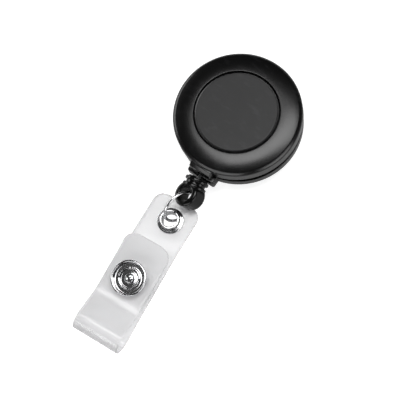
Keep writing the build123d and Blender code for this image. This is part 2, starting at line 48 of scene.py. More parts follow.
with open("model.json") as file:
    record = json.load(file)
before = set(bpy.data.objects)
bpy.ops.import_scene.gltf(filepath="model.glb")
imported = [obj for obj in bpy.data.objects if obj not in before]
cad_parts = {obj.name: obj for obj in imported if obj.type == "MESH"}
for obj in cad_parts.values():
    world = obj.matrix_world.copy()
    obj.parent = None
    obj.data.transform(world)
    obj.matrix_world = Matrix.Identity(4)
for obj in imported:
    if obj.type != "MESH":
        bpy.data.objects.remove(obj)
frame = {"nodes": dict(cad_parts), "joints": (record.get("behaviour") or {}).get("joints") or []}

MM = 0.001
CASE_LOW, CASE_HIGH = (Vector(corner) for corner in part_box("back_cover"))
COVER_LOW, COVER_HIGH = (Vector(corner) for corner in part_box("front_cover"))
LABEL_LOW, LABEL_HIGH = (Vector(corner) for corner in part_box("label_disc"))
WINDING_LOW, WINDING_HIGH = (Vector(corner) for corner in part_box("cord_winding"))

CASE_RADIUS = COVER_HIGH.x
FACE_Z = LABEL_HIGH.z
NECK_Y = -17.9 * MM
CORD_Z = (WINDING_LOW.z + WINDING_HIGH.z) / 2
JOINTS = {joint["name"]: joint for joint in frame["joints"]}


# ---- sizes and colours a user would change ----


def length(name, description, default):
    return bpy.props.FloatProperty(
        name=name, description=description, default=default, unit="LENGTH", precision=5
    )


def colour(name, description, default):
    return bpy.props.FloatVectorProperty(
        name=name, description=description, default=default, subtype="COLOR", size=3,
        min=0.0, max=1.0,
    )


def share(name, description, default):
    return bpy.props.FloatProperty(
        name=name, description=description, default=default, min=0.0, max=1.0,
        subtype="FACTOR",
    )


class ReelCaseSettings(bpy.types.PropertyGroup):
    """Sizes of the case's two covers and its label disc."""

    recess_radius: length("Recess radius", "Radius of the recess for the label disc", 10.7 * MM)
    lip_drop: length("Lip drop", "Fall of the front face from its centre to its lip", 1.0 * MM)
    lip_round: length("Lip rounding", "Radius of the front cover's outer edge", 0.72 * MM)
    wall: length("Wall", "Thickness of the case's side wall", 1.05 * MM)
    seam_low: length("Seam bottom", "Height of the seam's lower edge", 6.8 * MM)
    seam_high: length("Seam top", "Height of the seam's upper edge", 9.0 * MM)
    ceiling: length("Ceiling", "Height of the front cover's inner face", 11.8 * MM)
    collar_inner: length("Collar radius", "Inner radius of the back cover's collar", 14.0 * MM)
    collar_top: length("Collar top", "Height of the back cover's collar", 10.4 * MM)
    floor_top: length("Floor", "Height of the back cover's inner face", 4.9 * MM)
    boss_bevel: length("Boss bevel", "Bevel on the top edge of the exit boss", 0.8 * MM)
    back_round: length("Back rounding", "Radius of the back cover's outer edge", 1.1 * MM)
    post_radius: length("Post radius", "Radius of the spindle post", 1.85 * MM)
    post_top: length("Post top", "Height of the spindle post's shoulder", 10.35 * MM)
    tip_radius: length("Tip radius", "Radius of the spindle post's tip", 1.2 * MM)
    tip_top: length("Tip top", "Height of the spindle post's tip", 11.5 * MM)


class ReelCordSettings(bpy.types.PropertyGroup):
    """The cord and how it is wound."""

    radius: length("Cord radius", "Radius of the nylon cord", 0.4 * MM)
    layers: bpy.props.IntProperty(
        name="Layers", description="Layers of cord on the spool", default=3, min=1, max=8
    )
    turns: bpy.props.IntProperty(
        name="Turns", description="Turns of cord in each layer", default=4, min=1, max=12
    )


class ReelStrapSettings(bpy.types.PropertyGroup):
    """The clear strap."""

    width: length("Width", "Width of the strap", 12.7 * MM)
    thickness: length("Thickness", "Thickness of the vinyl", 0.55 * MM)
    corner: length("Corner radius", "Radius of the strap's four corners", 3.0 * MM)
    flap_rise: length("Flap rise", "Distance between the two layers at the snap", 2.85 * MM)


class ReelColours(bpy.types.PropertyGroup):
    """Colours of the finishes."""

    case: colour("Case", "Black moulded plastic of the covers", (0.0012, 0.0012, 0.0013))
    label: colour("Label", "Blank insert in the front face", (0.017, 0.017, 0.0175))
    fitting: colour("End fitting", "Glossy black plastic of the end fitting", (0.003, 0.003, 0.003))
    spool: colour("Spool", "Natural plastic of the spool", (0.72, 0.70, 0.65))
    cord: colour("Cord", "Nylon cord", (0.010, 0.010, 0.011))
    plate: colour("Plating", "Bright nickel plating", (0.58, 0.58, 0.59))
    spring: colour("Spring", "Blued spring steel", (0.20, 0.22, 0.27))
    vinyl: colour("Vinyl", "Clear vinyl of the strap", (0.785, 0.785, 0.79))
    clip: colour("Clip", "Nickel-plated steel of the belt clip", (0.62, 0.62, 0.63))
    gloss: share("Case gloss", "Roughness of the covers", 0.25)


# ---- small helpers ----


def new_object(name, mesh):
    piece = bpy.data.objects.new(name, mesh)
    bpy.context.scene.collection.objects.link(piece)
    return piece


def mesh_from(name, vertices, faces):
    mesh = bpy.data.meshes.new(name)
    mesh.from_pydata([tuple(vertex) for vertex in vertices], [], faces)
    mesh.validate()
    return mesh


def smooth(mesh, angle=35.0):
    for polygon in mesh.polygons:
        polygon.use_smooth = True
    mesh.set_sharp_from_angle(angle=radians(angle))


def point_outwards(mesh):
    shape = bmesh.new()
    shape.from_mesh(mesh)
    bmesh.ops.remove_doubles(shape, verts=shape.verts, dist=1e-7)
    bmesh.ops.recalc_face_normals(shape, faces=shape.faces)
    shape.to_mesh(mesh)
    shape.free()


def settled(piece, name):
    """The piece with its modifiers applied, as a plain mesh object of that name."""
    graph = bpy.context.evaluated_depsgraph_get()
    mesh = bpy.data.meshes.new_from_object(piece.evaluated_get(graph))
    piece.modifiers.clear()
    bpy.data.objects.remove(piece)
    result = new_object(name, mesh)
    result.name = name
    mesh.name = name
    return result


def joined(name, *pieces):
    """One object from several closed ones, which are removed."""
    shape = bmesh.new()
    for piece in pieces:
        shape.from_mesh(piece.data)
        bpy.data.objects.remove(piece)
    mesh = bpy.data.meshes.new(name)
    shape.to_mesh(mesh)
    shape.free()
    return new_object(name, mesh)


def finished(piece, material, slot, body, *nodes):
    """Gives a piece its finish, its body and the CAD nodes that it stands for."""
    piece.data.materials.clear()
    piece.data.materials.append(material)
    if body:
        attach(piece, body)
    if nodes:
        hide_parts(*nodes)
    return piece


def in_mm(corners):
    """Corners (x, y, radius) given in millimetres, in metres."""
    return [(x * MM, y * MM, radius * MM) for x, y, radius in corners]


def rounded(corners, steps=5, closed=True):
    """An outline whose corners (x, y, radius) are rounded by arcs."""
    outline = []
    count = len(corners)
    for index, (x, y, radius) in enumerate(corners):
        here = Vector((x, y))
        inner = closed or 0 < index < count - 1
        if radius <= 0 or not inner:
            outline.append(here)
            continue
        before = Vector(corners[index - 1][:2]) - here
        after = Vector(corners[(index + 1) % count][:2]) - here
        half = before.angle(after) / 2
        cut = min(radius / tan(half), 0.48 * before.length, 0.48 * after.length)
        middle = (before.normalized() + after.normalized()).normalized()
        centre = here + middle * (cut * tan(half) / sin(half))
        first = here + before.normalized() * cut - centre
        last = here + after.normalized() * cut - centre
        spread = atan2(first.x * last.y - first.y * last.x, first.dot(last))
        for step in range(steps + 1):
            angle = spread * step / steps
            outline.append(centre + Vector((
                first.x * cos(angle) - first.y * sin(angle),
                first.x * sin(angle) + first.y * cos(angle),
            )))
    return outline


def arc(centre, radius, start, end, steps):
    """Points of an arc, with its angles in degrees."""
    angles = [radians(start + (end - start) * step / steps) for step in range(steps + 1)]
    return [Vector((centre[0] + radius * cos(a), centre[1] + radius * sin(a))) for a in angles]


def held(outline, long=0.7 * MM, margin=0.18 * MM):
    """The outline with points added beside the ends of its long runs."""
    result = []
    for index, point in enumerate(outline):
        here, after = Vector(point), Vector(outline[(index + 1) % len(outline)])
        run = after - here
        result.append(here)
        if run.length > long:
            result.append(here + run.normalized() * margin)
            result.append(after - run.normalized() * margin)
    return result


def lathe(name, outline, segments=160, seat=None):
    """A closed (radius, height) outline spun about Z, then put on its seat."""
    outline = held(outline)
    vertices, rings = [], []
    for radius, height in outline:
        if radius < 1e-7:
            rings.append([len(vertices)])
            vertices.append((0, 0, height))
            continue
        rings.append(list(range(len(vertices), len(vertices) + segments)))
        for segment in range(segments):
            angle = 2 * pi * segment / segments
            vertices.append((radius * cos(angle), radius * sin(angle), height))
    faces = []
    for index, ring in enumerate(rings):
        other = rings[(index + 1) % len(rings)]
        if len(ring) == 1 and len(other) == 1:
            continue
        for segment in range(segments):
            after = (segment + 1) % segments
            if len(ring) == 1:
                faces.append((ring[0], other[after], other[segment]))
            elif len(other) == 1:
                faces.append((ring[segment], ring[after], other[0]))
            else:
                faces.append((ring[segment], ring[after], other[after], other[segment]))
    mesh = mesh_from(name, vertices, faces)
    point_outwards(mesh)
    smooth(mesh)
    if seat is not None:
        mesh.transform(seat)
    return mesh


def turned_piece(name, corners, segments=96, seat=None, steps=5):
    """A piece turned about its axis, from rounded corners in millimetres."""
    return new_object(name, lathe(name, rounded(in_mm(corners), steps), segments, seat))


def block(name, low, high, radius):
    """A box with rounded edges."""
    shape = bmesh.new()
    bmesh.ops.create_cube(shape, size=1.0)
    for vertex in shape.verts:
        vertex.co = [
            low[axis] + (vertex.co[axis] + 0.5) * (high[axis] - low[axis]) for axis in range(3)
        ]
    bmesh.ops.bevel(
        shape, geom=shape.edges[:], offset=radius, segments=4, affect="EDGES", profile=0.5
    )
    mesh = bpy.data.meshes.new(name)
    shape.to_mesh(mesh)
    shape.free()
    smooth(mesh, 50)
    return mesh


def prism(name, side_view, half_width, radius):
    """A side view (y, z) made solid across X, with its edges rounded."""
    count = len(side_view)
    vertices = [(x, y, z) for x in (-half_width, half_width) for y, z in side_view]
    faces = [tuple(range(count)), tuple(range(count, 2 * count))]
    for index in range(count):
        after = (index + 1) % count
        faces.append((index, after, count + after, count + index))
    mesh = mesh_from(name, vertices, faces)
    shape = bmesh.new()
    shape.from_mesh(mesh)
    bmesh.ops.recalc_face_normals(shape, faces=shape.faces)
    bmesh.ops.bevel(
        shape, geom=shape.edges[:], offset=radius, segments=3, affect="EDGES", profile=0.5
    )
    shape.to_mesh(mesh)
    shape.free()
    smooth(mesh, 50)
    return mesh


def cut_by(piece, cutter, name):
    """The piece less the cutter, as a new piece."""
    change = piece.modifiers.new("Cut", "BOOLEAN")
    change.operation = "DIFFERENCE"
    change.solver = "EXACT"
    change.object = cutter
    result = settled(piece, name)
    bpy.data.objects.remove(cutter)
    return result


# ---- nodes, shader groups and materials ----


def add_node(tree, kind, values=None, **settings):
    """A node with these settings and these values on its inputs."""
    node = tree.nodes.new(kind)
    for name, value in settings.items():
        setattr(node, name, value)
    for name, value in (values or {}).items():
        node.inputs[name].default_value = value
    return node


def wire(tree, *links):
    """Links, each from a node's output to a node's input."""
    for source, output, target, entry in links:
        tree.links.new(source.outputs[output], target.inputs[entry])


def open_tree(name, kind, inputs, outputs):
    """A node tree with these named sockets, and its two ends."""
    tree = bpy.data.node_groups.new(name, kind)
    for label, socket_kind, default in inputs:
        socket = tree.interface.new_socket(label, in_out="INPUT", socket_type=socket_kind)
        if default is not None:
            socket.default_value = default
    for label, socket_kind in outputs:
        tree.interface.new_socket(label, in_out="OUTPUT", socket_type=socket_kind)
    return tree, tree.nodes.new("NodeGroupInput"), tree.nodes.new("NodeGroupOutput")


def fine_grain_group():
    """Moulded grain: a height for the bump and a small change in roughness."""
    group, given, result = open_tree(
        "Fine grain",
        "ShaderNodeTree",
        [
            ("Scale", "NodeSocketFloat", 4000.0),
            ("Roughness", "NodeSocketFloat", 0.3),
            ("Variation", "NodeSocketFloat", 0.05),
        ],
        [("Height", "NodeSocketFloat"), ("Roughness", "NodeSocketFloat")],
    )
    place = add_node(group, "ShaderNodeTexCoord")
    grain = add_node(group, "ShaderNodeTexNoise", {"Detail": 2.0})
    patches = add_node(group, "ShaderNodeTexNoise", {"Scale": 260.0, "Detail": 3.0})
    centred = add_node(group, "ShaderNodeMath", {1: 0.5}, operation="SUBTRACT")
    scaled = add_node(group, "ShaderNodeMath", operation="MULTIPLY_ADD")
    wire(
        group,
        (place, "Object", grain, "Vector"),
        (place, "Object", patches, "Vector"),
        (given, "Scale", grain, "Scale"),
        (patches, "Fac", centred, 0),
        (centred, 0, scaled, 0),
        (given, "Variation", scaled, 1),
        (given, "Roughness", scaled, 2),
        (grain, "Fac", result, "Height"),
        (scaled, 0, result, "Roughness"),
    )
    return group


def scuff_group():
    """Slightly paler colour in short, fine scuffs."""
    group, given, result = open_tree(
        "Scuffs",
        "ShaderNodeTree",
        [
            ("Colour", "NodeSocketColor", (0.0, 0.0, 0.0, 1.0)),
            ("Worn colour", "NodeSocketColor", (0.1, 0.1, 0.1, 1.0)),
            ("Amount", "NodeSocketFloat", 0.5),
        ],
        [("Colour", "NodeSocketColor")],
    )
    place = add_node(group, "ShaderNodeTexCoord")
    stretch = add_node(
        group, "ShaderNodeMapping", {"Rotation": (0.3, 0.2, 0.7), "Scale": (1.0, 2.5, 1.5)}
    )
    spots = add_node(group, "ShaderNodeTexNoise", {"Scale": 320.0, "Detail": 4.0})
    chosen = add_node(group, "ShaderNodeMapRange", {"From Min": 0.56, "From Max": 0.78})
    amount = add_node(group, "ShaderNodeMath", operation="MULTIPLY")
    mix = add_node(group, "ShaderNodeMix", data_type="RGBA")
    wire(
        group,
        (place, "Object", stretch, "Vector"),
        (stretch, "Vector", spots, "Vector"),
        (spots, "Fac", chosen, "Value"),
        (chosen, "Result", amount, 0),
        (given, "Amount", amount, 1),
        (amount, 0, mix, "Factor"),
        (given, "Colour", mix, "A"),
        (given, "Worn colour", mix, "B"),
        (mix, "Result", result, "Colour"),
    )
    return group


def group_named(name, maker):
    return bpy.data.node_groups.get(name) or maker()


def new_material(name, values=None):
    """A material, its tree and its Principled shader with these values."""
    material = bpy.data.materials.new(name)
    material.use_nodes = True
    shader = material.node_tree.nodes["Principled BSDF"]
    for label, value in (values or {}).items():
        shader.inputs[label].default_value = value
    return material, material.node_tree, shader


def plastic(name, base, roughness, grain_scale, depth, worn, amount, level=0.5):
    """Moulded plastic with grain and fine scuffs."""
    material, tree, shader = new_material(name, {"Specular IOR Level": level})
    wear = add_node(
        tree, "ShaderNodeGroup", node_tree=group_named("Scuffs", scuff_group)
    )
    grain = add_node(
        tree, "ShaderNodeGroup", node_tree=group_named("Fine grain", fine_grain_group)
    )
    for node, values in (
        (wear, {"Colour": (*base, 1.0), "Worn colour": (*worn, 1.0), "Amount": amount}),
        (grain, {"Scale": grain_scale, "Roughness": roughness, "Variation": 0.08}),
    ):
        for label, value in values.items():
            node.inputs[label].default_value = value
    bump = add_node(tree, "ShaderNodeBump", {"Strength": 0.6, "Distance": depth})
    wire(
        tree,
        (wear, "Colour", shader, "Base Color"),
        (grain, "Height", bump, "Height"),
        (grain, "Roughness", shader, "Roughness"),
        (bump, "Normal", shader, "Normal"),
    )
    return material


def metal(name, base, roughness, scale, depth, stretch=(1.0, 1.0, 1.0)):
    """Plated or bare metal with fine marks."""
    material, tree, shader = new_material(name, {"Base Color": (*base, 1.0), "Metallic": 1.0})
    place = add_node(tree, "ShaderNodeTexCoord")
    mapping = add_node(tree, "ShaderNodeMapping", {"Scale": stretch})
    marks = add_node(tree, "ShaderNodeTexNoise", {"Scale": scale, "Detail": 4.0})
    spread = add_node(
        tree, "ShaderNodeMapRange", {"To Min": roughness * 0.6, "To Max": roughness * 1.5}
    )
    bump = add_node(tree, "ShaderNodeBump", {"Strength": 0.25, "Distance": depth})
    wire(
        tree,
        (place, "Object", mapping, "Vector"),
        (mapping, "Vector", marks, "Vector"),
        (marks, "Fac", spread, "Value"),
        (spread, "Result", shader, "Roughness"),
        (marks, "Fac", bump, "Height"),
        (bump, "Normal", shader, "Normal"),
    )
    return material


def clear_vinyl(name, base):
    """Clear flexible vinyl: seen through, with a faint ripple, and with a pale shadow."""
    material, tree, shader = new_material(
        name,
        {
            "Base Color": (*base, 1.0),
            "Transmission Weight": 0.72,
            "IOR": 1.40,
            "Specular IOR Level": 0.35,
        },
    )
    place = add_node(tree, "ShaderNodeTexCoord")
    ripple = add_node(tree, "ShaderNodeTexNoise", {"Scale": 120.0, "Detail": 2.0})
    haze = add_node(tree, "ShaderNodeTexNoise", {"Scale": 420.0, "Detail": 3.0})
    spread = add_node(tree, "ShaderNodeMapRange", {"To Min": 0.10, "To Max": 0.22})
    bump = add_node(tree, "ShaderNodeBump", {"Strength": 0.25, "Distance": 0.2 * MM})
    rays = add_node(tree, "ShaderNodeLightPath")
    seen = add_node(tree, "ShaderNodeMapRange", {"To Min": 1.0, "To Max": 0.10})
    wire(
        tree,
        (place, "Object", ripple, "Vector"),
        (place, "Object", haze, "Vector"),
        (haze, "Fac", spread, "Value"),
        (spread, "Result", shader, "Roughness"),
        (ripple, "Fac", bump, "Height"),
        (bump, "Normal", shader, "Normal"),
        (rays, "Is Shadow Ray", seen, "Value"),
        (seen, "Result", shader, "Alpha"),
    )
    return material


def twisted_cord(name, base):
    """Nylon cord with slanting strands."""
    material, tree, shader = new_material(name, {"Sheen Weight": 0.3})
    place = add_node(tree, "ShaderNodeTexCoord")
    strands = add_node(tree, "ShaderNodeTexWave", {"Scale": 900.0, "Distortion": 0.6})
    paler = [4 * value for value in base]
    tint = add_node(
        tree, "ShaderNodeMix", {"A": (*base, 1.0), "B": (*paler, 1.0)}, data_type="RGBA"
    )
    bump = add_node(tree, "ShaderNodeBump", {"Strength": 0.8, "Distance": 0.06 * MM})
    rough = add_node(tree, "ShaderNodeMapRange", {"To Min": 0.55, "To Max": 0.8})
    wire(
        tree,
        (place, "Object", strands, "Vector"),
        (strands, "Fac", tint, "Factor"),
        (strands, "Fac", bump, "Height"),
        (strands, "Fac", rough, "Value"),
        (rough, "Result", shader, "Roughness"),
        (tint, "Result", shader, "Base Color"),
        (bump, "Normal", shader, "Normal"),
    )
    return material


def finish_named(name):
    """The material of that finish, made the first time that it is asked for."""
    made = bpy.data.materials.get(name)
    if made:
        return made
    tones = bpy.context.scene.reel_colours
    makers = {
        "Satin black plastic": lambda n: plastic(
            n, tones.case, tones.gloss,
            grain_scale=5200.0, depth=0.012 * MM, worn=(0.03, 0.03, 0.032), amount=0.35,
        ),
        "Label insert": lambda n: plastic(
            n, tones.label, 0.48,
            grain_scale=7000.0, depth=0.015 * MM, worn=(0.035, 0.035, 0.037), amount=0.5,
            level=0.35,
        ),
        "Gloss black plastic": lambda n: plastic(
            n, tones.fitting, 0.13,
            grain_scale=2600.0, depth=0.008 * MM, worn=(0.01, 0.01, 0.01), amount=0.2,
            level=0.3,
        ),
        "Natural plastic": lambda n: plastic(
            n, tones.spool, 0.42,
            grain_scale=3000.0, depth=0.01 * MM, worn=(0.8, 0.79, 0.75), amount=0.5,
        ),
        "Bright plate": lambda n: metal(
            n, tones.plate, 0.10, scale=900.0, depth=0.004 * MM
        ),
        "Blued spring steel": lambda n: metal(
            n, tones.spring, 0.28, scale=800.0, depth=0.004 * MM, stretch=(1.0, 1.0, 14.0)
        ),
        "Clip steel": lambda n: metal(
            n, tones.clip, 0.24, scale=500.0, depth=0.006 * MM, stretch=(16.0, 1.0, 1.0)
        ),
        "Clear vinyl": lambda n: clear_vinyl(n, tones.vinyl),
        "Nylon cord": lambda n: twisted_cord(n, tones.cord),
    }
    return makers[name](name)


def dress_node(node, finish):
    """Gives a CAD node that stays visible its finish."""
    target = frame["nodes"][node]
    for slot in target.material_slots:
        slot.material = finish_named(finish)
    if not target.material_slots:
        target.data.materials.append(finish_named(finish))


# ---- Geometry Nodes ----


def geometry_tree(name, inputs):
    kinds = {int: "NodeSocketInt", float: "NodeSocketFloat"}
    sockets = [(label, kinds[type(value)], value) for label, value in inputs.items()]
    return open_tree(
        name,
        "GeometryNodeTree",
        [*sockets, ("Material", "NodeSocketMaterial", None)],
        [("Geometry", "NodeSocketGeometry")],
    )


def close_tree(tree, given, result, last, output):
    """Ends a tree in Realize Instances and Set Material."""
    whole = add_node(tree, "GeometryNodeRealizeInstances")
    paint = add_node(tree, "GeometryNodeSetMaterial")
    wire(
        tree,
        (last, output, whole, "Geometry"),
        (whole, "Geometry", paint, "Geometry"),
        (given, "Material", paint, "Material"),
        (paint, "Geometry", result, "Geometry"),
    )
    return tree


def grown(name, tree, values, material):
    """A plain mesh object made by a tree with these input values."""
    host = new_object(name + "_source", bpy.data.meshes.new(name + "_source"))
    change = host.modifiers.new("Grow", "NODES")
    change.node_group = tree
    given = {**values, "Material": material}
    for item in tree.interface.items_tree:
        if item.item_type == "SOCKET" and item.in_out == "INPUT" and item.name in given:
            change[item.identifier] = given[item.name]
    host.update_tag()
    bpy.context.view_layer.update()
    piece = settled(host, name)
    point_outwards(piece.data)
    smooth(piece.data, 60)
    return piece


def ring_tree():
    """A wire ring about Z, open by a small gap."""
    tree, given, result = geometry_tree(
        "Wire ring",
        {"Ring radius": 0.004, "Wire radius": 0.0004, "Sweep": 2 * pi, "Segments": 160},
    )
    bow = add_node(tree, "GeometryNodeCurveArc", mode="RADIUS")
    section = add_node(tree, "GeometryNodeCurvePrimitiveCircle", {"Resolution": 28})
    sweep = add_node(tree, "GeometryNodeCurveToMesh", {"Fill Caps": True})
    wire(
        tree,
        (given, "Segments", bow, "Resolution"),
        (given, "Ring radius", bow, "Radius"),
        (given, "Sweep", bow, "Sweep Angle"),
        (given, "Wire radius", section, "Radius"),
        (bow, "Curve", sweep, "Curve"),
        (section, "Curve", sweep, "Profile Curve"),
    )
    return close_tree(tree, given, result, sweep, "Mesh")


def coil_tree():
    """One layer of wound cord: a helix about Z from its base up."""
    tree, given, result = geometry_tree(
        "Cord coil",
        {
            "Coil radius": 0.011,
            "Cord radius": 0.0004,
            "Turns": 4.0,
            "Height": 0.0024,
            "Base": 0.0065,
        },
    )
    helix = add_node(tree, "GeometryNodeCurveSpiral", {"Resolution": 90})
    section = add_node(tree, "GeometryNodeCurvePrimitiveCircle", {"Resolution": 10})
    lift = add_node(tree, "GeometryNodeTransform")
    offset = add_node(tree, "ShaderNodeCombineXYZ")
    sweep = add_node(tree, "GeometryNodeCurveToMesh", {"Fill Caps": True})
    wire(
        tree,
        (given, "Coil radius", helix, "Start Radius"),
        (given, "Coil radius", helix, "End Radius"),
        (given, "Turns", helix, "Rotations"),
        (given, "Height", helix, "Height"),
        (given, "Cord radius", section, "Radius"),
        (helix, "Curve", sweep, "Curve"),
        (section, "Curve", sweep, "Profile Curve"),
        (given, "Base", offset, "Z"),
        (offset, "Vector", lift, "Translation"),
        (sweep, "Mesh", lift, "Geometry"),
    )
    return close_tree(tree, given, result, lift, "Geometry")


# ---- stage ----

CAMERA_DISTANCE = 0.300
CAMERA_ELEVATION = radians(71.4)
CAMERA_AZIMUTH = radians(60.3)
CAMERA_ROLL = radians(-26.7)
CAMERA_TARGET = (-0.00888, -0.02148)
CAMERA_LENS = 111.2
LIGHT_AIM = Vector((0.0, 0.0, 0.01))
FLOOR_HALF = 3.0
SEEN_GLOW = 0.75  # the floor's and the room's glow, for the camera only


def camera_axes():
    """The camera's right, up and backward directions."""
    back = Vector((
        sin(CAMERA_AZIMUTH) * cos(CAMERA_ELEVATION),
        -cos(CAMERA_AZIMUTH) * cos(CAMERA_ELEVATION),
        sin(CAMERA_ELEVATION),
    ))
    level = Vector((cos(CAMERA_AZIMUTH), sin(CAMERA_AZIMUTH), 0))
    upright = back.cross(level)
    right = level * cos(CAMERA_ROLL) + upright * sin(CAMERA_ROLL)
    up = upright * cos(CAMERA_ROLL) - level * sin(CAMERA_ROLL)
    return right, up, back


def add_softbox(name, place, size, power, heading=None):
    """A rectangular light, aimed at the reel, or level with its long side on a heading."""
    light = bpy.data.lights.new(name, "AREA")
    light.shape = "RECTANGLE"
    light.size, light.size_y = size
    light.energy = power
    lamp = bpy.data.objects.new(name, light)
    bpy.context.scene.collection.objects.link(lamp)
    lamp.location = place
    lamp.rotation_euler = (LIGHT_AIM - Vector(place)).to_track_quat("-Z", "Y").to_euler()
    if heading is not None:
        lamp.rotation_euler = (0.0, 0.0, radians(heading))


class REEL_OT_stage(bpy.types.Operator):
    """Makes the pale floor, the soft lights and the camera"""

    bl_idname = "badge_reel.stage"
    bl_label = "Stage"

    def execute(self, context):
        scene = context.scene
        corners = [(-1, -1), (1, -1), (1, 1), (-1, 1)]
        floor_mesh = mesh_from(
            "floor", [(x * FLOOR_HALF, y * FLOOR_HALF, 0) for x, y in corners], [(0, 1, 2, 3)]
        )
        floor = new_object("floor", floor_mesh)
        material, tree, shader = new_material(
            "Pale floor",
            {
                "Base Color": (0.62, 0.62, 0.62, 1.0),
                "Roughness": 0.9,
                "Specular IOR Level": 0.0,
                "Emission Color": (1.0, 1.0, 1.0, 1.0),
            },
        )
        rays = add_node(tree, "ShaderNodeLightPath")
        glow = add_node(tree, "ShaderNodeMapRange", {"To Max": SEEN_GLOW})
        wire(
            tree,
            (rays, "Is Camera Ray", glow, "Value"),
            (glow, "Result", shader, "Emission Strength"),
        )
        floor_mesh.materials.append(material)
        floor.location.z = -0.05 * MM

        world = bpy.data.worlds.new("Soft room")
        world.use_nodes = True
        background = world.node_tree.nodes["Background"]
        background.inputs["Color"].default_value = (1.0, 1.0, 1.0, 1.0)
        sight = add_node(world.node_tree, "ShaderNodeLightPath")
        brightness = add_node(
            world.node_tree, "ShaderNodeMapRange", {"To Min": 0.06, "To Max": SEEN_GLOW}
        )
        wire(
            world.node_tree,
            (sight, "Is Camera Ray", brightness, "Value"),
            (brightness, "Result", background, "Strength"),
        )
        scene.world = world

        add_softbox("overhead", (0.075, 0.18, 0.80), size=(0.78, 0.36), power=5.2, heading=41)
        add_softbox("right", (1.05, -0.15, 0.34), size=(0.9, 0.5), power=4.5)
        add_softbox("front", (0.10, -1.05, 0.40), size=(1.1, 0.5), power=5.0)
        add_softbox("left", (-1.10, -0.10, 0.24), size=(1.0, 0.4), power=4.5)

        right, up, back = camera_axes()
        data = bpy.data.cameras.new("camera")
        data.sensor_width = 36.0
        data.lens = CAMERA_LENS
        data.clip_start = 0.01
        data.clip_end = 20.0
        camera = bpy.data.objects.new("camera", data)
        scene.collection.objects.link(camera)
        place = (
            Vector((0, 0, FACE_Z))
            + back * CAMERA_DISTANCE
            + right * CAMERA_TARGET[0]
            + up * CAMERA_TARGET[1]
        )
        turn = Matrix((right, up, back)).transposed().to_4x4()
        camera.matrix_world = Matrix.Translation(place) @ turn
        scene.camera = camera
        scene.view_settings.view_transform = "Standard"
        return {"FINISHED"}


# ---- case ----

FACE_STEPS = 16  # rings across the front cover's curved face
FACE_EDGE_DROP = 0.08 * MM  # from the disc's face to the inner edge of that face
RECESS_ROUND = 0.5 * MM
BOSS_ROOT_Y = -15.3 * MM  # the front boss
BOSS_HALF_WIDTH = 2.95 * MM
BOSS_TOP = 11.6 * MM
BACK_BOSS_ROOT_Y = -14.6 * MM
BACK_BOSS_HALF_WIDTH = 3.85 * MM
BACK_BOSS_LOW = 4.6 * MM
BOSS_SPLIT = 0.05 * MM  # each boss stops this short of the cord's height


def mouth_cutter(depth_from, depth_to):
    """A flared round hole along Y at the cord's height, between two depths in millimetres."""
    corners = [
        (0, depth_from, 0),
        (0.6, depth_from, 0),
        (0.6, depth_to - 0.45, 0.5),
        (1.15, depth_to + 0.1, 0),
        (0, depth_to + 0.1, 0),
    ]
    seat = Matrix.Translation((0, 0, CORD_Z)) @ Matrix.Rotation(radians(90), 4, "X")
    return turned_piece("mouth_cutter", corners, 48, seat)


def cover_with_boss(node, outline, steps, boss_mesh, mouth):
    """The cover for a CAD node: a turned shell and its boss, which is bored for the cord."""
    shell = new_object(node + "_turned", lathe(node + "_turned", rounded(outline, steps), 256))
    boss = cut_by(new_object(node + "_boss", boss_mesh), mouth, node + "_bored")
    smooth(boss.data, 40)
    cover = joined(node + "_shell", shell, boss)
    finished(cover, finish_named("Satin black plastic"), "case_plastic", "case", node)


